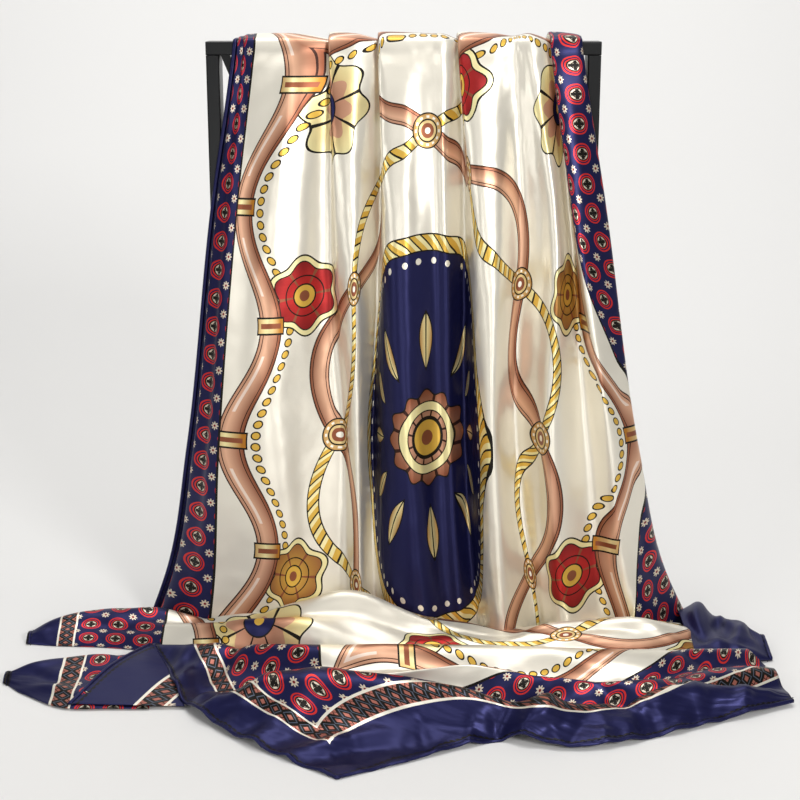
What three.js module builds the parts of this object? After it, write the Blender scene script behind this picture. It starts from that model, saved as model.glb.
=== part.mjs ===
// Silk square scarf, pleated over the top rail of a small steel frame stand,
// with the rest of its length lying in rolls on the floor in front.
// Millimetres, +Z up, the front of the scarf faces -Y.
import * as THREE from 'three';

// Stand, one portal of flat steel tube with two feet behind it
const standWidth = 300;
const standHeight = 471;
const tubeWidth = 10;
const tubeDepth = 25;
const portalFront = -5;
const footReach = 100;
const braceWidth = 6.8;
const braceDepth = 6;
const braceLean = 0.41;
const tubeCorner = 1.2;
const seamGap = 0.3;

// Cloth
const wall = 2;
const railClearance = 0.4;
const flapLength = 112;
const crestRise = 0.6;
const flapSpread = 0.12;

// Levels of the hanging cloth: height, how far the valleys stand in front of the rail, depth of the pleats
const railLevel = { z: standHeight - tubeCorner, base: portalFront - railClearance, depth: 7 };
const highLevel = { z: 353, base: -9, depth: 24 };
const lowLevel = { z: 154, base: -12, depth: 38 };
const nearLevel = { z: 42, depth: 14 };
const footLevel = { z: 0, depth: 14 };

// A row for each fold line, left to right: how far forward it stands (0 valley, 1 ridge) at the rail and
// lower down, its x at the rail, high, low and at the foot, and the y of its valley plane at the foot
const foldColumns = ['outRail', 'out', 'rail', 'high', 'low', 'foot', 'footBase'];
const folds = {
  leftFold: [0.35, 0.2, -125, -143, -168, -192, 4],
  leftTurn: [0.55, 0.45, -121, -137, -158, -176, -4],
  stripEdge: [0.75, 0.75, -117, -128, -146, -162, -10],
  firstRidge: [0.85, 1.0, -97, -104, -112, -123, -19],
  firstDip: [0.8, 0.82, -78, -79, -78, -83, -23],
  firstEnd: [0.15, 0.85, -60, -58, -52, -56, -24],
  secondEdge: [0.95, 0.92, -56, -50, -42, -46, -24],
  secondSide: [0.6, 0.6, -36, -36, -35, -32, -24],
  recess: [0.05, 0.25, -23, -25, -29, -20, -24],
  thirdEdge: [0.95, 0.75, -19, -15, -12, -7, -24],
  thirdRidge: [0.9, 1.0, 5, 7, 12, 26, -24],
  darkValley: [0.85, 0.35, 21, 20, 27, 39, -24],
  lesserRidge: [0.8, 0.65, 31, 31, 38, 50, -24],
  fourthValley: [0.05, 0.3, 37, 43, 51, 64, -24],
  fourthEdge: [0.95, 0.8, 41, 48, 66, 81, -24],
  fourthEnd: [0.8, 0.95, 67, 74, 83, 100, -24],
  shadeValley: [0.45, 0.2, 76, 82, 91, 113, -24],
  fifthEdge: [0.6, 0.6, 81, 90, 99, 125, -23],
  fifthRidge: [0.8, 1.0, 93, 104, 120, 145, -21],
  fifthDip: [0.05, 0.7, 106, 118, 145, 166, -18],
  lastEdge: [1.0, 0.85, 111, 124, 157, 185, -13],
  rightTurn: [0.8, 0.5, 129, 147, 178, 207, -6],
  rightFold: [0.45, 0.2, 135, 155, 188, 223, 4],
};

// The drop in three columns, from one fold to another, parted by a small share of a fold
const dropColumns = [['left', 0, 8], ['middle', 8, 16], ['right', 16, 22]];
const columnSeam = 0.02;

// Rolls on the floor, a row for each station from the tip of the left tongue to the right end:
// y and height of the back line, of the first crest, of the dip, of the second crest, then the front line
const rollColumns = [
  'x', 'backY', 'backZ', 'crestY', 'crestZ', 'dipY', 'dipZ', 'nextY', 'nextZ', 'frontY', 'frontZ',
];
const rollStations = [
  [-303, -37, 2.5, -40, 5, -43, 5.5, -46, 5, -50, 2],
  [-280, -20, 3, -28, 13, -37, 12, -46, 9, -54, 2.5],
  [-240, -5, 4, -17, 17, -32, 15, -45, 10, -57, 2.5],
  [-199, -10, 6, -24, 17, -38, 13, -52, 11, -65, 3],
  [-161, -26, 8, -35, 18, -46, 14, -60, 17, -74, 7],
  [-125, -36, 12, -50, 27, -63, 21, -76, 27, -86, 12],
  [-83, -40.6, 20, -56, 39, -70, 32, -83, 34, -95, 15],
  [-33, -40.7, 26, -58, 45, -71, 36, -84, 26, -97, 14],
  [19, -40.7, 15, -64, 28, -74, 24, -84, 20, -94, 13],
  [79, -40.7, 10, -72, 18, -80, 18, -89, 16, -97, 12],
  [115, -40, 12, -78, 28, -87, 24, -95, 19, -104, 13],
  [154, -37.4, 14, -72, 31, -84, 25, -95, 19, -106, 13],
  [194, -30, 12, -71, 29, -82, 24, -92, 18, -102, 12],
  [226, -24, 7, -68, 20, -76, 17, -85, 13, -94, 8],
];

// The border laid out in front, a row for each crest, trough or edge line: x, y and height at five stations
const frontStations = ['left', 'nearLeft', 'middle', 'nearRight', 'right'];
const frontLines = {
  back: { x: [-191, -79, 36, 149, 262], y: [-68, -97, -95, -107, -85], z: [5, 12, 12, 12, 7] },
  crest: { x: [-198, -79, 36, 149, 265], y: [-74, -121, -126, -136, -101], z: [9, 30, 32, 33, 18] },
  trough: { x: [-184, -78, 36, 148, 277], y: [-102, -138, -146, -158, -116], z: [5, 19, 20, 20, 9] },
  secondCrest: { x: [-176, -72, 43, 150, 281], y: [-128, -152, -158, -176, -130], z: [6, 12, 30, 26, 9] },
  secondTrough: { x: [-169, -77, 35, 140, 283], y: [-147, -166, -178, -192, -141], z: [4, 6, 9, 14, 5] },
  lastCrest: { x: [-158, -77, 34, 122, 284], y: [-171, -189, -196, -203, -152], z: [5, 26, 24, 19, 5] },
  lip: { x: [-114, -46, 47, 131, 285], y: [-222, -222, -211, -216, -159], z: [3, 8, 9, 9, 4] },
  hem: { x: [-45, -3, 67, 136, 286], y: [-275, -254, -222, -231, -164], z: [2, 2, 5, 3, 2.5] },
};

// Second tongue on the left, a row for each station from its tip: back line, crest, front line
const tongueColumns = ['x', 'backY', 'backZ', 'crestY', 'crestZ', 'frontY', 'frontZ'];
const leftTongue = [
  [-303, -112, 2, -118, 4.5, -124, 2],
  [-282, -96, 3, -115, 8, -144, 2.5],
  [-250, -90, 4, -112, 10, -165, 3],
  [-215, -82, 5, -108, 10, -166, 3],
  [-200, -84, 5, -108, 7, -166, 3],
];

// Folded right end behind the border, a row for each station
const rightTongue = [
  [226.6, -2, 3, -18, 13, -66, 5],
  [246, 2, 3, -8, 16, -80, 7],
  [258, -12, 3, -24, 9, -84, 6],
  [275, -22, 3, -34, 12, -83, 6],
  [289, -46, 2, -56, 8, -82, 3],
];

// Sampling of the solids: steps between folds, down the drop, round a rail corner, down the flap
const spanSteps = 2;
const dropSteps = 17;
const cornerSteps = 3;
const flapSteps = 4;
const borderSteps = 8;
const rollSteps = 3;
const slopeStep = 0.05;
const steepest = 2.2;

const group = new THREE.Group();
group.name = 'silk_scarf_on_stand';

const clamp = (value, low, high) => Math.max(low, Math.min(high, value));

// Smooth interpolation through equally spaced rows of numbers
function alongRows(rows, t) {
  const last = rows.length - 1;
  const index = clamp(Math.floor(t), 0, last - 1);
  const f = t - index;
  const row = (k) => rows[clamp(k, 0, last)];
  const [a, b, c, d] = [row(index - 1), row(index), row(index + 1), row(index + 2)];
  return b.map((value, k) => {
    const slopeIn = (c[k] - a[k]) / 2;
    const slopeOut = (d[k] - value) / 2;
    const rise = c[k] - value;
    const bend = 3 * rise - 2 * slopeIn - slopeOut;
    const twist = slopeIn + slopeOut - 2 * rise;
    return value + f * (slopeIn + f * (bend + f * twist));
  });
}

const named = (columns, row) => Object.fromEntries(columns.map((column, k) => [column, row[k]]));
const foldRows = Object.values(folds).map((row) => named(foldColumns, row));

// Control points of the hanging cloth, by fold and by level
const levelRows = foldRows.map((fold) => {
  const point = (x, out, level, base) => [x, base - out * level.depth, level.z];
  const halfOut = (fold.out + fold.outRail) / 2;
  return [
    point(fold.rail, fold.outRail, railLevel, railLevel.base),
    point(fold.high, halfOut, highLevel, highLevel.base),
    point(fold.low, fold.out, lowLevel, lowLevel.base),
    point(fold.foot, fold.out, nearLevel, fold.footBase),
    point(fold.foot, fold.out, footLevel, fold.footBase),
  ];
});

// Point on the inner face of the drop: s counts folds from the left, v counts levels from the rail
function dropPoint(s, v) {
  return alongRows(levelRows.map((levels) => alongRows(levels, v)), s);
}

// Section at the rail: x and how far it stands off the rail
const railSection = foldRows.map((fold) => [fold.rail, fold.outRail * railLevel.depth]);

// Closed solid from two matching grids of points, front and back, joined round their rims
function shellGeometry(front, back) {
  const rows = front.length;
  const columns = front[0].length;
  const points = [...front.flat(), ...back.flat()];
  const offset = rows * columns;
  const faces = [];
  const quad = (a, b, c, d) => faces.push(a, b, c, a, c, d);
  const id = (i, j) => i * columns + j;
  for (let i = 0; i < rows - 1; i += 1) {
    for (let j = 0; j < columns - 1; j += 1) {
      quad(id(i, j), id(i + 1, j), id(i + 1, j + 1), id(i, j + 1));
      quad(offset + id(i, j), offset + id(i, j + 1), offset + id(i + 1, j + 1), offset + id(i + 1, j));
    }
  }
  const rim = gridRim(rows, columns);
  rim.forEach((a, k) => {
    const b = rim[(k + 1) % rim.length];
    quad(a, b, offset + b, offset + a);
  });
  return solidGeometry(points, faces);
}

// Closed solid under a grid of points, flat on the floor
function heapGeometry(top) {
  const rows = top.length;
  const columns = top[0].length;
  const rim = gridRim(rows, columns);
  const points = top.flat();
  const offset = points.length;
  const floor = rim.map((k) => [points[k][0], points[k][1], 0]);
  const faces = [];
  const id = (i, j) => i * columns + j;
  for (let i = 0; i < rows - 1; i += 1) {
    for (let j = 0; j < columns - 1; j += 1) {
      faces.push(id(i, j), id(i + 1, j), id(i + 1, j + 1));
      faces.push(id(i, j), id(i + 1, j + 1), id(i, j + 1));
    }
  }
  rim.forEach((a, k) => {
    const next = (k + 1) % rim.length;
    faces.push(a, rim[next], offset + next, a, offset + next, offset + k);
  });
  const outline = floor.map(([x, y]) => new THREE.Vector2(x, y));
  const clockwise = THREE.ShapeUtils.isClockWise(outline);
  THREE.ShapeUtils.triangulateShape(outline, []).forEach((face) => {
    const sameWay = THREE.ShapeUtils.isClockWise(face.map((k) => outline[k])) === clockwise;
    const turned = sameWay ? face : face.toReversed();
    faces.push(...turned.map((k) => offset + k));
  });
  return solidGeometry([...points, ...floor], faces);
}

// Indices round the edge of a grid, in order
function gridRim(rows, columns) {
  const rim = [];
  for (let j = 0; j < columns - 1; j += 1) rim.push(j);
  for (let i = 0; i < rows - 1; i += 1) rim.push(i * columns + columns - 1);
  for (let j = columns - 1; j > 0; j -= 1) rim.push((rows - 1) * columns + j);
  for (let i = rows - 1; i > 0; i -= 1) rim.push(i * columns);
  return rim;
}

// Geometry from points and faces, turned so that the faces point out
function solidGeometry(points, faces) {
  let volume = 0;
  for (let k = 0; k < faces.length; k += 3) {
    const [a, b, c] = [0, 1, 2].map((step) => new THREE.Vector3(...points[faces[k + step]]));
    volume += a.dot(b.cross(c));
  }
  const turned = volume < 0 ? faces.toReversed() : faces;
  const geometry = new THREE.BufferGeometry();
  geometry.setAttribute('position', new THREE.Float32BufferAttribute(points.flat(), 3));
  geometry.setIndex(turned);
  geometry.computeVertexNormals();
  return geometry;
}

function add(name, geometry, material) {
  const mesh = new THREE.Mesh(geometry, material.clone());
  mesh.name = name;
  group.add(mesh);
  return mesh;
}

const steelPaint = new THREE.MeshStandardMaterial({ color: 0x161616, roughness: 0.45, metalness: 0.3 });
const creamSatin = new THREE.MeshStandardMaterial({ color: 0xede8dc, roughness: 0.35, metalness: 0 });
const navySatin = new THREE.MeshStandardMaterial({ color: 0x2b2b52, roughness: 0.35, metalness: 0 });

// Straight tube with rounded corners, laid along z and then turned
function tubeGeometry(width, depth, length) {
  const shape = new THREE.Shape();
  const x = width / 2;
  const y = depth / 2;
  const r = tubeCorner;
  shape.moveTo(-x + r, -y);
  shape.lineTo(x - r, -y);
  shape.absarc(x - r, -y + r, r, -Math.PI / 2, 0);
  shape.absarc(x - r, y - r, r, 0, Math.PI / 2);
  shape.absarc(-x + r, y - r, r, Math.PI / 2, Math.PI);
  shape.absarc(-x + r, -y + r, r, Math.PI, 1.5 * Math.PI);
  return new THREE.ExtrudeGeometry(shape, { depth: length, bevelEnabled: false, curveSegments: 2 });
}

function buildStand() {
  const postX = standWidth / 2 - tubeWidth / 2;
  const middleY = portalFront + tubeDepth / 2;
  const postLength = standHeight - 2 * tubeWidth - 2 * seamGap;
  for (const [side, sign] of [['left', -1], ['right', 1]]) {
    const post = add(`stand_post_${side}`, tubeGeometry(tubeWidth, tubeDepth, postLength), steelPaint);
    post.position.set(sign * postX, middleY, tubeWidth + seamGap);
    const foot = add(`stand_foot_${side}`, tubeGeometry(tubeWidth, tubeWidth, footReach), steelPaint);
    foot.rotation.x = -Math.PI / 2;
    foot.position.set(sign * postX, portalFront + tubeDepth + seamGap, tubeWidth / 2);
  }
  const railHeights = { top: standHeight - tubeWidth / 2, bottom: tubeWidth / 2 };
  for (const [end, z] of Object.entries(railHeights)) {
    const rail = add(`stand_${end}_rail`, tubeGeometry(tubeWidth, tubeDepth, standWidth), steelPaint);
    rail.rotation.set(0, Math.PI / 2, 0);
    rail.position.set(-standWidth / 2, middleY, z);
  }
  const rearY = portalFront + tubeDepth + footReach + 2 * seamGap + tubeWidth / 2;
  const rear = add('stand_rear_rail', tubeGeometry(tubeWidth, tubeWidth, standWidth), steelPaint);
  rear.rotation.y = Math.PI / 2;
  rear.position.set(-standWidth / 2, rearY, tubeWidth / 2);

  // The brace leans from the top left corner to the bottom rail, with both ends cut level
  const top = standHeight - tubeWidth - seamGap;
  const bottom = tubeWidth + seamGap;
  const start = -standWidth / 2 + tubeWidth + seamGap;
  const end = start + braceLean * (top - bottom);
  const outline = new THREE.Shape([
    new THREE.Vector2(start, top),
    new THREE.Vector2(end, bottom),
    new THREE.Vector2(end + braceWidth, bottom),
    new THREE.Vector2(start + braceWidth, top),
  ]);
  const braceGeometry = new THREE.ExtrudeGeometry(outline, { depth: braceDepth, bevelEnabled: false });
  const brace = add('stand_brace', braceGeometry, steelPaint);
  brace.rotation.x = Math.PI / 2;
  brace.position.y = middleY + braceDepth / 2;
}

// Even steps from one fold to another
function foldSteps(from, to) {
  const count = Math.round((to - from) * spanSteps);
  return Array.from({ length: count + 1 }, (_, k) => from + ((to - from) * k) / count);
}

// One column of the drop: the outer face stands off the inner one by the wall, measured square to the slope
function buildDropColumn(name, from, to, material) {
  const foldNumbers = foldSteps(from, to);
  const lowest = levelRows[0].length - 1;
  const inner = [];
  const outer = [];
  for (let row = 0; row <= dropSteps; row += 1) {
    const v = (lowest * row) / dropSteps;
    const points = foldNumbers.map((s) => dropPoint(s, v));
    inner.push(points);
    outer.push(points.map(([x, y, z], k) => {
      const before = dropPoint(clamp(foldNumbers[k] - slopeStep, 0, foldRows.length - 1), v);
      const after = dropPoint(clamp(foldNumbers[k] + slopeStep, 0, foldRows.length - 1), v);
      const slope = (after[1] - before[1]) / (after[0] - before[0]);
      return [x, y - wall * Math.min(Math.hypot(1, slope), steepest), z];
    }));
  }
  add(name, shellGeometry(outer, inner), material);
}

// Turns a stand-off at the rail into a point beside or over it: turn 0 is its front, 1 its back
function roundRail(x, off, turn, drop) {
  const middleY = portalFront + tubeDepth / 2;
  const side = turn < 0.5 ? -1 : 1;
  const angle = clamp(turn < 0.5 ? turn * 2 : (1 - turn) * 2, 0, 1) * (Math.PI / 2);
  const reach = tubeCorner + railClearance + off;
  const rise = tubeCorner + railClearance + off * crestRise;
  const y = middleY + side * (tubeDepth / 2 - tubeCorner + reach * Math.cos(angle));
  return [x, y, railLevel.z + rise * Math.sin(angle) - drop];
}

function buildOverRail() {
  const foldNumbers = foldSteps(0, foldRows.length - 1);
  const turns = [];
  for (let k = 0; k <= cornerSteps; k += 1) turns.push((0.5 * k) / cornerSteps);
  for (let k = 0; k <= cornerSteps; k += 1) turns.push(0.5 + (0.5 * k) / cornerSteps + (k === 0 ? 0.001 : 0));
  const ring = (extra) => turns.map((turn) => foldNumbers.map((s) => {
    const [x, off] = alongRows(railSection, s);
    return roundRail(x, Math.max(off, 0) + extra, turn, -seamGap);
  }));
  add('scarf_over_rail', shellGeometry(ring(wall), ring(0)), creamSatin);
}

function buildBackFlap() {
  const foldNumbers = foldSteps(0, foldRows.length - 1);
  const spread = (k) => 1 + (flapSpread * k) / flapSteps;
  const sheet = (extra) => Array.from({ length: flapSteps + 1 }, (_, k) => foldNumbers.map((s) => {
    const [x, off] = alongRows(railSection, s);
    return roundRail(x * spread(k), Math.max(off, 0) * spread(k) + extra, 1, (flapLength * k) / flapSteps);
  }));
  add('scarf_back_flap', shellGeometry(sheet(wall), sheet(0)), creamSatin);
}

// Lines of a heap patch, from stations that are rows, sampled to a grid
function stationGrid(columns, rows, steps, lineSteps) {
  const lineCount = (columns.length - 1) / 2;
  const point = (row, k) => [row[0], row[1 + 2 * k], row[2 + 2 * k]];
  const lines = (row) => Array.from({ length: lineCount }, (_, k) => point(row, k));
  const count = (rows.length - 1) * steps;
  return Array.from({ length: count + 1 }, (_, k) => {
    const line = lines(alongRows(rows, k / steps));
    const inner = (lineCount - 1) * lineSteps;
    return Array.from({ length: inner + 1 }, (_, j) => alongRows(line, j / lineSteps));
  });
}

// Border grid: each line is sampled along its stations, then the lines are joined front to back
function frontGrid(steps, lineSteps) {
  const lines = Object.values(frontLines);
  const last = frontStations.length - 1;
  const count = last * steps;
  const rows = Array.from({ length: count + 1 }, (_, k) => lines.map((line) => {
    const stations = frontStations.map((_, n) => [line.x[n], line.y[n], line.z[n]]);
    return alongRows(stations, k / steps);
  }));
  const inner = (lines.length - 1) * lineSteps;
  return rows.map((row) => Array.from({ length: inner + 1 }, (_, j) => alongRows(row, j / lineSteps)));
}

// Where a line of points, sorted along one axis, crosses a given place: returns the other coordinate
function crossing(line, axis, place) {
  const other = 1 - axis;
  const sorted = line.toSorted((a, b) => a[axis] - b[axis]);
  const next = sorted.findIndex((point) => point[axis] >= place);
  if (next === 0) return sorted[0][other];
  if (next < 0) return sorted.at(-1)[other];
  const [a, b] = [sorted[next - 1], sorted[next]];
  return a[other] + ((b[other] - a[other]) * (place - a[axis])) / (b[axis] - a[axis]);
}

// The rolls and tongues stop just short of the border that lies against them
function buildPool() {
  const border = frontGrid(borderSteps, 2);
  const backLine = border.map((row) => row[0]);
  const leftHem = border[0];
  const againstBorder = (grid) => grid.forEach((row) => {
    const edge = row.at(-1);
    if (edge[0] > backLine[0][0]) edge[1] = crossing(backLine, 0, edge[0]) + 2 * seamGap;
  });
  const rolls = stationGrid(rollColumns, rollStations, rollSteps, 2);
  const rightEnd = stationGrid(tongueColumns, rightTongue, rollSteps, 3);
  const leftEnd = stationGrid(tongueColumns, leftTongue, rollSteps, 3);
  againstBorder(rolls);
  againstBorder(rightEnd);
  leftEnd.at(-1).forEach((point) => {
    point[0] = crossing(leftHem, 1, point[1]) - 4 * seamGap;
  });
  add('pool_rolls', heapGeometry(rolls), creamSatin);
  add('pool_front_border', heapGeometry(border), navySatin);
  add('pool_left_tongue', heapGeometry(leftEnd), navySatin);
  add('pool_right_tongue', heapGeometry(rightEnd), navySatin);
}

buildStand();
buildOverRail();
buildBackFlap();
for (const [side, from, to] of dropColumns) {
  const start = from === 0 ? from : from + columnSeam;
  buildDropColumn(`scarf_drop_${side}`, start, to, side === 'middle' ? navySatin : creamSatin);
}
buildPool();

// The origin is the middle of the whole footprint, on the floor
const reach = new THREE.Box3().setFromObject(group);
group.position.set(-(reach.min.x + reach.max.x) / 2, -(reach.min.y + reach.max.y) / 2, 0);

export default group;
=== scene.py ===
import math
import bpy
import bmesh
import numpy as np
from mathutils import Matrix, Vector


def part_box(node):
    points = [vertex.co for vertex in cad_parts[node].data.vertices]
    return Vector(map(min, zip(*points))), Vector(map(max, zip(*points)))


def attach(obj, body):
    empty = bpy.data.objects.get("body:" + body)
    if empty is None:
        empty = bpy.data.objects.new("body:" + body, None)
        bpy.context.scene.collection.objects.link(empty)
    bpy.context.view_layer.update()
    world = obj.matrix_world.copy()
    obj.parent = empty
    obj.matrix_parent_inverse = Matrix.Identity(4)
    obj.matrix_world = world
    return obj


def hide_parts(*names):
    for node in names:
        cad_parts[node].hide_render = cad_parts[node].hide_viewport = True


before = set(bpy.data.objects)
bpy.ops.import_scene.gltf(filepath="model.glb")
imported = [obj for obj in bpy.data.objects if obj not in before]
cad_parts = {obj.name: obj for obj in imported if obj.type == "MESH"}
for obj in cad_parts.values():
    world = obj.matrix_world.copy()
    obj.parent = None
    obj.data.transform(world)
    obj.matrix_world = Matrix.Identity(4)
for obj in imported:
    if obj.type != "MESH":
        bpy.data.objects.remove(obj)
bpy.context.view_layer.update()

# Everything hangs on the stand's rail: x from its middle, y from the portal's front plane
railLow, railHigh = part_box("stand_top_rail")
tau = 2 * math.pi
millimetre = 0.001
portal = {"front": -5.0, "depth": 25.0, "height": 471.0, "corner": 1.2}
shift = np.array([(railLow[0] + railHigh[0]) / 2, railLow[1] - portal["front"] * millimetre, 0.0])


# Smooth path through rows that stand at the given marks, read at the given places
def alongRows(rows, marks, places):
    rows, marks = np.asarray(rows, float), np.asarray(marks, float)
    shape = (-1,) + (1,) * (rows.ndim - 1)
    gaps = np.diff(marks)
    rises = np.diff(rows, axis=0) / gaps.reshape(shape)
    slopes = np.concatenate([rises[:1], rises[-1:]])
    if len(rows) > 2:
        before, after = gaps[:-1].reshape(shape), gaps[1:].reshape(shape)
        middle = (rises[:-1] * after + rises[1:] * before) / (before + after)
        slopes = np.concatenate([rises[:1], middle, rises[-1:]])
    index = np.clip(np.searchsorted(marks, places, side="right") - 1, 0, len(gaps) - 1)
    gap = gaps[index].reshape(shape)
    f = (np.asarray(places, float) - marks[index]).reshape(shape) / gap
    a, b, slopeIn, slopeOut = rows[index], rows[index + 1], slopes[index] * gap, slopes[index + 1] * gap
    bend = 3 * (b - a) - 2 * slopeIn - slopeOut
    return a + f * (slopeIn + f * (bend + f * (slopeIn + slopeOut - 2 * (b - a))))


# Points across and down a table: rows stand at their marks, columns are one step apart
def patch(table, marks, down, acrossSteps):
    table = np.asarray(table, float)
    columns = np.arange(table.shape[1])
    across = np.linspace(0, len(columns) - 1, (len(columns) - 1) * acrossSteps + 1)
    grid = np.swapaxes(alongRows(table, marks, down), 0, 1)
    return np.swapaxes(alongRows(grid, columns, across), 0, 1)


# Unit normals of a grid of points, most of them towards the facing direction
def gridNormals(points, facing):
    normals = np.cross(np.gradient(points, axis=1), np.gradient(points, axis=0))
    normals /= np.maximum(np.linalg.norm(normals, axis=2, keepdims=True), 1e-9)
    return normals if np.mean(normals @ np.array(facing)) >= 0 else -normals


# A bell-shaped share, 1 at the middle and fading over the width
def bell(distance, width):
    return np.exp(-np.square(distance / width))


# An object with its mesh from a bmesh
def addObject(name, bm):
    mesh = bpy.data.meshes.new(name)
    bm.to_mesh(mesh)
    bm.free()
    made = bpy.data.objects.new(name, mesh)
    bpy.context.scene.collection.objects.link(made)
    return made


# Cloth from a grid of points in millimetres, with the print's flat coordinates as its own UV map
def clothSheet(name, points, prints, facing, thickness, replaced):
    rows, columns = points.shape[0] - 1, points.shape[1] - 1
    if np.mean(np.cross(np.gradient(points, axis=1), np.gradient(points, axis=0)) @ np.array(facing)) < 0:
        points, prints = points[::-1], prints[::-1]
    bm = bmesh.new()
    bmesh.ops.create_grid(bm, x_segments=columns, y_segments=rows, size=0.5)
    flat = bm.loops.layers.uv.new("print")
    spots = {}
    for vert in bm.verts:
        spots[vert] = (round((vert.co.y + 0.5) * rows), round((vert.co.x + 0.5) * columns))
    for vert, (row, column) in spots.items():
        vert.co = points[row, column] * millimetre + shift
    for face in bm.faces:
        face.smooth = True
        for loop in face.loops:
            loop[flat].uv = prints[spots[loop.vert]] * millimetre
    bm.normal_update()
    sheet = addObject(name, bm)
    body = sheet.modifiers.new("thickness", "SOLIDIFY")
    body.thickness = thickness * millimetre
    body.offset = -1
    body.material_offset = 1
    body.material_offset_rim = 0
    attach(sheet, "root")
    if replaced:
        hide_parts(*replaced)
    return sheet


# Rolled hem along an open edge and the stitches that hold it: sizes in millimetres. Two waves make its height
# uneven, each with its share and how fast it turns
hem = {
    "inset": 1.5, "halfWidth": 1.8, "halfHeight": 1.2, "rise": 0.2, "step": 2.5, "sides": 8,
    "waves": ((0.12, 1.9), (0.08, 0.7)), "mergeWithin": 0.02,
    "stitchInset": 3.9, "stitchRise": 0.35, "stitchLength": 3.0, "stitchThick": 0.8, "stitchPitch": 4.8,
}


# Edge of a grid of points, respaced: place, way in, way up, way along, flat place and way in on the flat
def edgeRun(points, prints, facing, side, spacing):
    up = gridNormals(points, facing)
    if side in ("left", "right"):
        points, prints, up = (np.swapaxes(grid, 0, 1) for grid in (points, prints, up))
    if side in ("right", "front"):
        points, prints, up = points[::-1], prints[::-1], up[::-1]
    inward = points[1] - points[0]
    steps = np.linalg.norm(np.diff(points[0], axis=0), axis=1)
    length = np.concatenate([[0], np.cumsum(steps)])
    places = np.linspace(0, length[-1], max(3, int(length[-1] / spacing)))
    rows = [np.stack([np.interp(places, length, row[:, k]) for k in range(row.shape[1])], axis=1)
            for row in (points[0], inward, up[0], np.gradient(points[0], axis=0), prints[0],
                        prints[1] - prints[0])]
    for way in (rows[1], rows[2], rows[3], rows[5]):
        way /= np.maximum(np.linalg.norm(way, axis=1, keepdims=True), 1e-9)
    return rows


def buildHem(name, points, prints, facing, sides):
    bm, threads = bmesh.new(), bmesh.new()
    flat = bm.loops.layers.uv.new("print")
    for side in sides:
        place, inward, up, _, printed, printIn = edgeRun(points, prints, facing, side, hem["step"])
        ring = [(math.cos(a), math.sin(a)) for a in np.linspace(0, tau, hem["sides"] + 1)]
        tube = bmesh.ops.create_grid(bm, x_segments=hem["sides"], y_segments=len(place) - 1, size=0.5)
        marks = {}
        for vert in tube["verts"]:
            row = round((vert.co.y + 0.5) * (len(place) - 1))
            c, d = ring[round((vert.co.x + 0.5) * hem["sides"])]
            wave = 1 + sum(share * math.sin(row * rate) for share, rate in hem["waves"])
            spot = place[row] + inward[row] * (hem["inset"] + c * hem["halfWidth"])
            spot = spot + up[row] * (hem["rise"] + d * hem["halfHeight"] * wave)
            vert.co = spot * millimetre + shift
            marks[vert] = (printed[row] + printIn[row] * (hem["inset"] + c)) * millimetre
        for face in {face for vert in marks for face in vert.link_faces}:
            face.smooth = True
            for loop in face.loops:
                loop[flat].uv = marks[loop.vert]
        place, inward, up, along, *_ = edgeRun(points, prints, facing, side, hem["stitchPitch"])
        for k in range(len(place)):
            spot = place[k] + inward[k] * hem["stitchInset"] + up[k] * hem["stitchRise"]
            axes = Matrix((along[k], np.cross(up[k], along[k]), up[k])).transposed().to_4x4()
            thick = hem["stitchThick"] / 2
            size = Matrix.Diagonal((hem["stitchLength"] / 2, thick, thick, 1))
            turned = Matrix.Translation(spot * millimetre + shift) @ axes @ size
            stitch = bmesh.ops.create_icosphere(threads, subdivisions=1, radius=millimetre)["verts"]
            bmesh.ops.transform(threads, matrix=turned, verts=stitch)
    bmesh.ops.remove_doubles(bm, verts=bm.verts, dist=hem["mergeWithin"] * millimetre)
    bmesh.ops.holes_fill(bm, edges=[edge for edge in bm.edges if edge.is_boundary], sides=0)
    bmesh.ops.recalc_face_normals(bm, faces=bm.faces)
    pieces = []
    for part, source in (("hem", bm), ("stitches", threads)):
        piece = addObject(f"{name}_{part}", source)
        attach(piece, "root")
        pieces.append(piece)
    return pieces


# Cloth that lies on the floor is at least this high
floorRest = 0.6

# Values of the hanging cloth. high and low give the height, the y of the valleys and how far ridges stand
# out. overRail gives turns round the rail, 1 at the back, and how far down the square they lie. The shares
# say how much of the way to the next level a fold has gone. Levels run from the back hem over the rail to
# the floor, each with a count of rows of points that lead to the next one
drop = {
    "railClearance": 0.5, "railDepth": 7.0, "crestRise": 0.6,
    "high": (353, -8, 24), "low": (154, -11, 39), "nearZ": 42, "nearShare": 0.6, "footDepth": 31,
    "flapLength": 112, "flapTop": 6, "flapSpread": 0.12, "flapLift": 0.3, "thickness": 0.35,
    "overRail": ((1, 112), (0.75, 115.5), (0.501, 119), (0.499, 141), (0.25, 144.5), (0, 148)),
    "frontFrom": 148, "creasesFrom": 145, "belowZ": 453, "belowShares": (0.8, 0.6), "acrossSteps": 8,
    "rowCounts": [8, 9, 2, 3, 3, 5, 3, 3, 6, 40, 64, 38, 14],
}

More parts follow.
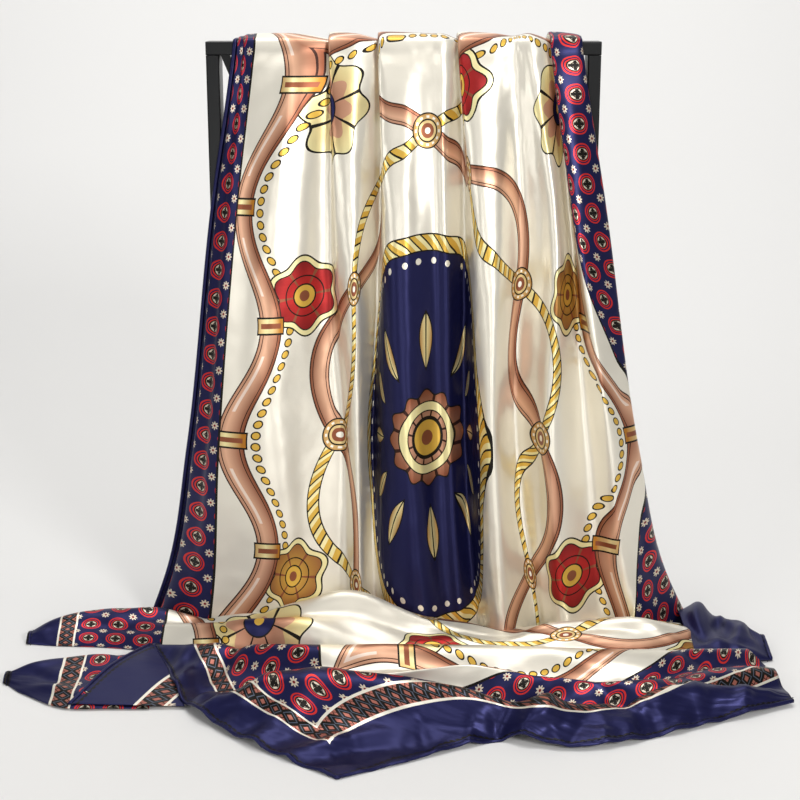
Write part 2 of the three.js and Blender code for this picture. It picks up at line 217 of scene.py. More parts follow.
# A row for each fold line, left to right. Forward share at the rail and lower down; x at the rail, high, low
# and at the foot; y of the valley at the foot; how far the valley tucks sideways at the rail, high and low
foldTable = {
    "leftHem": (0.0, 0.0, -129, -148, -174, -212, 3, 0, 0, 0),
    "leftInside": (0.1, 0.05, -114, -130, -152, -192, 6, 0, 0, 0),
    "leftFold": (0.35, 0.2, -125, -143, -168, -206, 4, 0, 0, 0),
    "leftTurn": (0.55, 0.45, -121, -137, -158, -190, -4, 0, 0, 0),
    "stripEdge": (0.75, 0.75, -117, -128, -146, -162, -10, 0, 0, 0),
    "firstRidge": (0.85, 1.0, -97, -106, -105, -114, -19, 0, 0, 0),
    "firstDip": (0.75, 0.74, -78, -80, -80, -84, -23, 0, 0, 0),
    "firstEnd": (0.1, 0.5, -60, -60, -56, -56, -24, 6, 3, 0),
    "secondEdge": (0.95, 0.55, -56, -52, -47, -47, -24, 0, 0, 0),
    "secondSide": (0.8, 0.92, -36, -37, -35, -33, -24, 0, 0, 0),
    "recess": (0.0, 0.15, -23, -25, -28, -21, -24, 7, 7, 3),
    "thirdEdge": (0.95, 0.7, -19, -15, -14, -8, -24, 0, 0, 0),
    "thirdRidge": (0.95, 1.0, 2, 3, 6, 20, -24, 0, 0, 0),
    "darkValley": (0.8, 0.5, 21, 22, 27, 39, -24, 0, 0, 0),
    "lesserRidge": (0.75, 0.5, 31, 33, 38, 50, -24, 0, 0, 0),
    "fourthValley": (0.0, 0.15, 37, 44, 50, 62, -24, 6, 3, 0),
    "fourthEdge": (0.95, 0.75, 42, 52, 60, 72, -24, 0, 0, 0),
    "fourthEnd": (0.85, 1.0, 67, 71, 73, 84, -24, 0, 0, 0),
    "shadeValley": (0.5, 0.1, 82, 92, 93, 109, -24, 0, -3, -4),
    "fifthEdge": (0.6, 0.5, 88, 103, 104, 120, -23, 0, 0, 0),
    "fifthRidge": (0.8, 1.0, 97, 115, 117, 134, -21, 0, 0, 0),
    "fifthDip": (0.05, 0.45, 107, 124, 146, 164, -18, 6, 3, 0),
    "lastEdge": (1.0, 0.9, 111, 128, 162, 196, -13, 0, 0, 0),
    "rightTurn": (0.8, 0.5, 129, 147, 178, 222, -6, 0, 0, 0),
    "rightFold": (0.45, 0.2, 135, 155, 188, 238, 4, 0, 0, 0),
    "rightInside": (0.1, 0.05, 128, 144, 168, 220, 6, 0, 0, 0),
    "rightHem": (0.0, 0.0, 122, 124, 128, 190, 3, 0, 0, 0),
}

# Where each fold lies on the flat square, millimetres from its left hem: at the rail, high, low, at the foot
printAcross = {
    "leftHem": (0, 0, 0, 0), "leftInside": (40, 44, 44, 42), "leftFold": (74, 84, 84, 80),
    "leftTurn": (90, 96, 98, 93), "stripEdge": (108, 112, 114, 112), "firstRidge": (130, 142, 149, 152),
    "firstDip": (148, 168, 184, 194), "firstEnd": (160, 190, 210, 220),
    "secondEdge": (200, 212, 220, 231), "secondSide": (222, 240, 262, 250),
    "recess": (250, 290, 312, 300), "thirdEdge": (405, 402, 400, 395),
    "thirdRidge": (431, 431, 431, 430), "darkValley": (452, 455, 460, 456),
    "lesserRidge": (464, 470, 476, 472), "fourthValley": (482, 492, 495, 492),
    "fourthEdge": (560, 580, 595, 560), "fourthEnd": (588, 608, 613, 585),
    "shadeValley": (610, 640, 660, 640), "fifthEdge": (636, 668, 677, 690),
    "fifthRidge": (655, 690, 703, 718), "fifthDip": (692, 730, 731, 750),
    "lastEdge": (800, 798, 744, 800), "rightTurn": (824, 829, 769, 838),
    "rightFold": (840, 842, 784, 862), "rightInside": (868, 866, 830, 880),
    "rightHem": (900, 900, 900, 900),
}


# Place over or beside the rail for a stand-off: turn 0 is the portal's front, 1 its back
def roundRail(off, turn):
    side = -1 if turn < 0.5 else 1
    angle = min(1, (2 * turn if turn < 0.5 else 2 - 2 * turn)) * math.pi / 2
    middle = portal["front"] + portal["depth"] / 2
    reach = portal["corner"] + drop["railClearance"] + off
    rise = portal["corner"] + drop["railClearance"] + off * drop["crestRise"]
    y = middle + side * (portal["depth"] / 2 - portal["corner"] + reach * math.cos(angle))
    return y, portal["height"] - portal["corner"] + rise * math.sin(angle)


# How far down the square the cloth is at a height in front of the rail
def frontPlace(z):
    return drop["frontFrom"] + portal["height"] - z


# Control points of one fold line, from the back hem to the floor: x, y, z, then the flat place
def foldLine(name):
    outRail, out, rail, high, low, foot, footBase, tuckRail, tuckHigh, tuckLow = foldTable[name]
    flatRail, flatHigh, flatLow, flatFoot = printAcross[name]
    off = outRail * drop["railDepth"]
    spread, flap, lift = 1 + drop["flapSpread"], drop["flapLength"], off * drop["flapLift"]
    backY, sideZ = roundRail(off, 1)
    line = [(rail * spread, backY + lift, sideZ - flap, flatRail, 0),
            (rail * (1 + spread) / 2, backY + lift / 2, sideZ - flap / 2, flatRail, flap / 2),
            (rail, backY, sideZ - drop["flapTop"], flatRail, flap - drop["flapTop"])]
    for turn, along in drop["overRail"]:
        y, z = roundRail(off, turn)
        line.append((rail + tuckRail, y, z, flatRail, along))
    fall = (portal["height"] - drop["belowZ"]) / (portal["height"] - drop["high"][0])
    highX, highY = high + tuckHigh, drop["high"][1] - (out + outRail) / 2 * drop["high"][2]
    aside, outward = drop["belowShares"]
    line.append((rail + tuckRail + (highX - rail - tuckRail) * fall * aside,
                 y + (highY - y) * fall * outward, drop["belowZ"],
                 flatRail + (flatHigh - flatRail) * fall, frontPlace(drop["belowZ"])))
    line.append((highX, highY, drop["high"][0], flatHigh, frontPlace(drop["high"][0])))
    line.append((low + tuckLow, drop["low"][1] - out * drop["low"][2], drop["low"][0], flatLow,
                 frontPlace(drop["low"][0])))
    y = footBase - out * drop["footDepth"]
    for z, share in ((drop["nearZ"], drop["nearShare"]), (floorRest, 1)):
        flatHere = flatLow + (flatFoot - flatLow) * share
        line.append((low + (foot - low) * share, y, z, flatHere, frontPlace(z)))
    return line


# Small creases down the drop: fold number at the top and bottom end, upper and lower height, depth and width
dropCreases = [
    (5.6, 5.2, 460, 300, 1.6, 0.28), (6.7, 6.4, 440, 200, -1.8, 0.35), (4.6, 4.3, 330, 60, 1.2, 0.4),
    (7.6, 8.3, 300, 20, -2.0, 0.35), (5.4, 5.9, 190, 15, 1.6, 0.35), (9.2, 9.1, 380, 190, 0.8, 0.22),
    (12.5, 12.2, 452, 250, -1.4, 0.3), (11.4, 11.6, 360, 120, 1.0, 0.25), (12.6, 12.9, 210, 20, -1.2, 0.25),
    (16.5, 16.3, 450, 280, 1.2, 0.3), (17.2, 16.6, 260, 40, -1.4, 0.3), (20.5, 20.9, 390, 150, -1.8, 0.35),
    (19.6, 20.1, 240, 20, 1.6, 0.3), (22.5, 22.7, 440, 290, 0.9, 0.25), (21.6, 22.3, 280, 40, -2.2, 0.4),
    (23.3, 23.4, 200, 30, 1.4, 0.35), (13.6, 14.1, 420, 220, 0.9, 0.25), (3.5, 3.6, 400, 60, 0.7, 0.3),
]


def buildDrop():
    names = list(foldTable)
    table = np.swapaxes([foldLine(name) for name in names], 0, 1)
    marks = table[:, 0, 4]
    down = [marks[0]]
    for start, end, count in zip(marks, marks[1:], drop["rowCounts"]):
        down += list(start + (end - start) * np.arange(1, count + 1) / count)
    across = np.linspace(0, len(names) - 1, (len(names) - 1) * drop["acrossSteps"] + 1)
    grid = patch(table, marks, down, drop["acrossSteps"])
    points, prints = grid[:, :, :3].copy(), grid[:, :, 3:]
    normals = gridNormals(points, (0, -1, 0))
    front = prints[:, :, 1] > drop["creasesFrom"]
    push = np.zeros(points.shape[:2])
    z = points[:, :, 2]
    for top, bottom, highZ, lowZ, depth, width in dropCreases:
        share = np.clip((highZ - z) / (highZ - lowZ), 0, 1)
        place = top + (bottom - top) * share
        window = np.sin(math.pi * share) ** 0.7
        push += depth * window * bell(across[None, :] - place, width)
    points += normals * (push * front)[:, :, None]
    sheet = clothSheet("silk_drop", points, prints, (0, -1, 0), drop["thickness"],
                       ["scarf_over_rail", "scarf_back_flap", "scarf_drop_left", "scarf_drop_middle",
                        "scarf_drop_right"])
    hems = buildHem("silk_drop", points, prints, (0, -1, 0), ["left", "right", "back"])
    return sheet, *hems


# How much a crease bends on its way, as a share of its width
creaseBend = 0.4


# Pushes cloth on the floor along its normals at listed creases: x and y of the middle, its direction
# in degrees, half length, half width and depth, in millimetres
def crease(points, table):
    points[:, :, 2] = np.maximum(points[:, :, 2], floorRest)
    normals = gridNormals(points, (0, 0, 1))
    push = np.zeros(points.shape[:2])
    for x, y, direction, length, width, depth in table:
        turn = math.radians(direction)
        offX, offY = points[:, :, 0] - x, points[:, :, 1] - y
        along = offX * math.cos(turn) + offY * math.sin(turn)
        aside = offY * math.cos(turn) - offX * math.sin(turn)
        aside += np.square(along / length) * width * creaseBend
        push += depth * bell(along, length) * bell(aside, width)
    points = points + normals * push[:, :, None]
    points[:, :, 2] = np.maximum(points[:, :, 2], floorRest)
    return points


borderCreases = [
    (-176, -112, 70, 26, 5, 2.2), (-158, -128, 95, 18, 4, -1.5), (-166, -160, 60, 24, 5, 2.0),
    (-140, -150, 30, 30, 6, -2.0), (-138, -184, 55, 26, 5, 2.6), (-118, -172, 15, 34, 6, 2.0),
    (-122, -206, 40, 22, 4, -1.6), (-100, -200, 10, 30, 5, 2.4), (-98, -228, 35, 24, 4, 1.8),
    (-78, -214, -5, 26, 5, -1.8), (-72, -244, 25, 22, 4, 2.0), (-50, -230, 70, 20, 5, 2.2),
    (-52, -262, 15, 18, 4, 1.6), (-30, -244, 110, 22, 4, -1.6), (-24, -222, 20, 30, 6, 2.0),
    (-6, -236, 75, 16, 4, 1.8), (14, -224, 100, 18, 4, -1.4), (24, -236, 60, 16, 4, 1.8),
    (46, -222, 85, 16, 4, 1.8), (66, -216, 120, 16, 4, -1.4), (84, -220, 70, 18, 4, 2.0),
    (104, -220, 100, 18, 5, 1.6), (122, -218, 60, 20, 4, -1.6), (140, -222, 95, 16, 4, 2.0),
    (160, -212, 75, 20, 5, 2.4), (178, -204, 110, 22, 4, -1.8), (196, -202, 65, 24, 5, 2.4),
    (214, -186, 100, 24, 5, 2.2), (232, -184, 60, 26, 4, -1.8), (248, -172, 95, 24, 5, 2.4),
    (264, -166, 55, 20, 4, 2.0), (-60, -140, 20, 50, 7, 1.8), (10, -136, -10, 46, 6, -1.8),
    (70, -150, 12, 52, 7, 2.0), (110, -142, -14, 44, 6, 1.8), (190, -140, 8, 48, 7, 2.2),
    (222, -126, -20, 36, 6, -1.8), (-110, -118, -12, 44, 7, 1.6), (240, -148, 20, 34, 5, 2.0),
    (-20, -196, 8, 44, 6, 1.8), (92, -186, 16, 40, 5, -1.8), (180, -190, 30, 40, 8, 7.5),
    (214, -192, 20, 22, 5, -2.5), (244, -172, 36, 26, 7, 5.5), (96, -212, 12, 34, 6, 3.5),
    (-150, -172, 52, 34, 8, 4.5), (-112, -196, 38, 30, 7, 4.0), (-60, -236, 24, 30, 6, 3.5),
    (-52, -186, -3, 84, 9, 14.0), (-40, -164, 2, 90, 9, -10.0), (-92, -214, 42, 40, 9, 6.0),
    (-20, -238, 14, 50, 9, -5.0), (60, -206, -8, 60, 9, 6.5), (120, -188, 6, 60, 9, -6.0),
    (206, -172, 14, 60, 9, 9.0), (150, -160, 4, 60, 8, -6.0), (250, -134, 20, 44, 8, 6.0),
    (64, -220, 58, 26, 9, -7.0), (100, -206, 50, 30, 8, 6.0), (160, -196, -52, 26, 8, -5.0),
    (-168, -140, 68, 44, 8, 6.0), (-140, -122, 60, 36, 8, -5.0),
]

# Border laid out in front: a row for each line, back to front, at five stations left to right.
# x, y and height, then the flat place: from the left hem and from the back hem
border = {
    "thickness": 0.35, "stationSteps": 44, "lineSteps": 12,
    "under": ([-186, -78, 36, 149, 258], [-66, -94, -92, -104, -82], [0.6, 2, 2, 2, 1],
              [0, 104, 220, 335, 452], [632, 718, 704, 712, 806]),
    "back": ([-191, -79, 36, 149, 262], [-68, -97, -95, -107, -85], [5, 12, 12, 12, 7],
             [0, 103, 217, 332, 451], [638, 726, 713, 722, 816]),
    "crest": ([-198, -79, 36, 149, 265], [-74, -121, -126, -136, -101], [9, 30, 32, 33, 18],
              [0, 100, 215, 330, 450], [643, 748, 735, 746, 838]),
    "trough": ([-184, -78, 36, 148, 277], [-102, -138, -146, -158, -116], [5, 19, 20, 20, 9],
               [0, 98, 213, 328, 458], [673, 769, 757, 780, 857]),
    "secondCrest": ([-176, -72, 43, 150, 281], [-128, -152, -158, -176, -130], [6, 12, 30, 26, 9],
                    [0, 97, 212, 318, 452], [700, 784, 772, 826, 868]),
    "secondTrough": ([-169, -77, 35, 140, 283], [-147, -166, -178, -192, -141], [4, 6, 9, 14, 5],
                     [0, 84, 197, 304, 450], [720, 799, 800, 848, 877]),
    "lastCrest": ([-158, -77, 34, 122, 284], [-171, -189, -196, -203, -152], [5, 26, 24, 19, 5],
                  [0, 70, 180, 266, 436], [746, 831, 860, 862, 886]),
    "lip": ([-114, -46, 47, 131, 285], [-222, -222, -211, -216, -159], [3, 8, 9, 9, 4],
            [0, 48, 140, 228, 385], [813, 868, 885, 884, 893]),
    "hem": ([-45, -3, 67, 136, 286], [-275, -254, -222, -231, -164], [1.4, 1.4, 5, 3, 2.5],
            [0, 47, 124, 195, 360], [900, 900, 900, 900, 900]),
}
borderLines = ["under", "back", "crest", "trough", "secondCrest", "secondTrough", "lastCrest", "lip", "hem"]


def buildBorder():
    table = [np.array(border[name]).T for name in borderLines]
    marks = np.arange(len(table))
    down = np.linspace(0, marks[-1], marks[-1] * border["lineSteps"] + 1)
    grid = patch(table, marks, down, border["stationSteps"])
    points, prints = grid[:, :, :3].copy(), grid[:, :, 3:]
    points = crease(points, borderCreases)
    sheet = clothSheet("silk_border", points, prints, (0, 0, 1), border["thickness"], ["pool_front_border"])
    hems = buildHem("silk_border", points, prints, (0, 0, 1), ["left", "front"])
    return sheet, *hems


# Rolls on the floor: a row for each station, x, then y and height of the back, first crest, dip, second
# crest and front, then how far the station lies from the left hem. flatDown says how far those lines lie
# from the back hem, with the edges on the floor before and after them
rolls = {
    "creases": [
        (-262, -30, 12, 30, 6, 3.0), (-228, -42, -8, 34, 6, -2.7), (-206, -24, 10, 32, 7, 3.4),
        (-172, -50, -18, 34, 6, 3.4), (-150, -34, 5, 30, 6, -2.7), (-128, -72, -22, 34, 7, 3.8),
        (-104, -50, 18, 34, 7, -3.4), (-66, -88, -6, 42, 6, 3.4), (-44, -56, 14, 38, 7, 3.8),
        (-10, -76, -10, 40, 6, -3.0), (24, -88, 8, 38, 6, 3.0), (52, -60, -16, 36, 7, 3.4),
        (96, -84, 14, 34, 6, 3.0), (130, -66, -12, 36, 6, -3.0), (150, -90, 6, 38, 6, 3.4),
        (188, -78, -10, 34, 6, 3.4), (206, -48, 24, 26, 6, -2.7),
    ],
    "thickness": 0.35, "stationSteps": 12, "lineSteps": 12, "flatDown": (634, 644, 664, 682, 702, 722, 730),
    "stations": [
        (-303, -37, 2.5, -40, 5, -43, 5.5, -46, 5, -50, 2, 3),
        (-280, -20, 3, -28, 13, -37, 12, -46, 9, -54, 2.5, 27),
        (-240, -5, 4, -17, 17, -32, 15, -45, 10, -57, 2.5, 68),
        (-199, -10, 6, -24, 17, -38, 13, -52, 11, -65, 3, 108),
        (-161, -26, 8, -35, 18, -46, 14, -60, 17, -74, 7, 146),
        (-125, -36, 12, -50, 27, -63, 21, -76, 27, -86, 12, 184),
        (-83, -40.6, 20, -56, 39, -70, 32, -83, 34, -95, 15, 228),
        (-33, -40.7, 26, -58, 45, -71, 36, -84, 26, -97, 14, 280),
        (19, -40.7, 15, -64, 28, -74, 24, -84, 20, -94, 13, 334),
        (79, -40.7, 10, -72, 18, -80, 18, -89, 16, -97, 12, 398),
        (115, -40, 12, -78, 28, -87, 24, -95, 19, -104, 13, 438),
        (154, -37.4, 14, -72, 31, -84, 25, -95, 19, -106, 13, 480),
        (194, -30, 12, -71, 29, -82, 24, -92, 18, -102, 12, 522),
        (226, -24, 7, -68, 20, -76, 17, -85, 13, -94, 8, 556),
    ],
}

# Folded ends of the pool, in the same form with one crest
leftTongue = {
    "creases": [
        (-284, -112, 20, 22, 5, 2.4), (-272, -126, -30, 22, 5, -2.0), (-258, -104, 8, 30, 6, 2.6),
        (-262, -144, -18, 22, 5, 2.8), (-246, -128, 10, 28, 6, -2.2), (-232, -100, -12, 28, 6, 2.4),
        (-224, -150, 12, 24, 5, 2.0),
    ],
    "thickness": 0.35, "stationSteps": 20, "lineSteps": 14, "flatDown": (690, 692, 716, 774, 777),
    "stations": [
        (-303, -112, 2, -118, 4.5, -124, 2, 2),
        (-282, -96, 3, -115, 8, -144, 2.5, 14),
        (-250, -90, 4, -112, 10, -165, 3, 38),
        (-215, -82, 5, -108, 10, -166, 3, 74),
        (-186, -84, 5, -108, 6, -166, 2, 104),
    ],
}
rightTongue = {
    "creases": [
        (240, -22, 80, 22, 5, 4.4), (252, -40, 60, 26, 5, -4.0), (262, -26, 100, 20, 5, 4.8),
        (268, -56, 70, 22, 5, 4.0), (280, -48, 95, 20, 4, -3.0), (248, -70, 20, 22, 5, 3.6),
        (236, -58, 110, 20, 4, -3.0), (260, -76, -15, 18, 4, 3.0),
    ],
    "thickness": 0.35, "stationSteps": 20, "lineSteps": 14, "flatDown": (846, 856, 880, 890, 897),
    "stations": [
        (226.6, -2, 3, -18, 13, -92, 5, 820),
        (246, 2, 3, -8, 16, -88, 7, 840),
        (258, -12, 3, -24, 9, -85, 6, 856),
        (275, -22, 3, -34, 12, -84, 6, 874),
        (289, -46, 2, -56, 8, -82, 3, 890),
    ],
}


# How much further out than its last line the edge of a heap meets the floor
heapEdge = 1.5


# Heaped cloth from stations: its back and front edges go down to the floor
def buildHeap(name, values, replaced, sides):
    lineCount = len(values["flatDown"]) - 2
    rows = []
    for station in values["stations"]:
        x, flatAcross = station[0], station[-1]
        line = [(x, station[1 + 2 * k], station[2 + 2 * k]) for k in range(lineCount)]
        line = [(x, line[0][1] + heapEdge, floorRest), *line, (x, line[-1][1] - heapEdge, floorRest)]
        rows.append([(*point, flatAcross, down) for point, down in zip(line, values["flatDown"])])
    marks = np.arange(lineCount + 2)
    down = np.linspace(0, marks[-1], marks[-1] * values["lineSteps"] + 1)
    grid = patch(np.swapaxes(rows, 0, 1), marks, down, values["stationSteps"])
    points, prints = grid[:, :, :3].copy(), grid[:, :, 3:]
    points = crease(points, values["creases"])
    sheet = clothSheet(name, points, prints, (0, 0, 1), values["thickness"], replaced)
    hems = buildHem(name, points, prints, (0, 0, 1), sides)
    return sheet, *hems


# Corner of the left end turned over, so that its duller reverse shows: three rows from front to back, each
# from its hem to where it goes under the border, x, y and height. flatAcross is the width of print for each
# millimetre of cloth, so the print is stretched there
turnedCorner = {
    "thickness": 0.35, "flatAcross": 0.6, "flatDown": (745, 795, 848), "steps": 24,
    "rows": [
        [(-246, -167, 3.6), (-205, -169, 3.6), (-160, -169, 2.6)],
        [(-224, -121, 12.6), (-201, -122, 11.8), (-177, -122, 7.5)],
        [(-201, -74, 10.5), (-199, -75, 10.2), (-197, -76, 9.6)],
    ],
}


def buildTurnedCorner():
    rows = np.array(turnedCorner["rows"], float)
    flat = np.zeros((3, 3, 2))
    flat[:, :, 0] = (rows[:, :, 0] - rows[:, :1, 0]) * turnedCorner["flatAcross"]
    flat[:, :, 1] = np.array(turnedCorner["flatDown"])[:, None]
    down = np.linspace(0, 2, 2 * turnedCorner["steps"] + 1)
    grid = patch(np.concatenate([rows, flat], axis=2), np.arange(3), down, turnedCorner["steps"])
    points, prints = grid[:, :, :3].copy(), grid[:, :, 3:]
    sheet = clothSheet("silk_turned_corner", points, prints, (0, 0, -1), turnedCorner["thickness"], [])
    hems = buildHem("silk_turned_corner", points, prints, (0, 0, 1), ["left"])
    return sheet, *hems


# sRGB hex to linear colour
def linear(hexColour):
    parts = [int(hexColour[k:k + 2], 16) / 255 for k in (1, 3, 5)]
    return tuple(c / 12.92 if c <= 0.04045 else ((c + 0.055) / 1.055) ** 2.4 for c in parts) + (1.0,)


# A node with its settings and links: an input is a number, a colour, an output of another node, or None
def addNode(tree, kind, *inputs, out=0, **settings):
    node = tree.nodes.new("ShaderNode" + kind)
    for key, value in settings.items():
        setattr(node, key, value)
    for k, value in enumerate(inputs):
        if isinstance(value, bpy.types.NodeSocket):
            tree.links.new(value, node.inputs[k])
        elif value is not None:
            node.inputs[k].default_value = value
    return node.outputs[out]


def newMaterial(name):
    material = bpy.data.materials.new(name)
    material.use_nodes = True
    material.node_tree.nodes.clear()
    return material, material.node_tree


# The surface of a material: inputs of its shader by name, each a value or an output of another node
def coat(tree, inputs):
    shader = tree.nodes.new("ShaderNodeBsdfPrincipled")
    for name, value in inputs.items():
        if isinstance(value, bpy.types.NodeSocket):
            tree.links.new(value, shader.inputs[name])
        else:
            shader.inputs[name].default_value = value
    surface = tree.nodes.new("ShaderNodeOutputMaterial")
    tree.links.new(shader.outputs[0], surface.inputs[0])


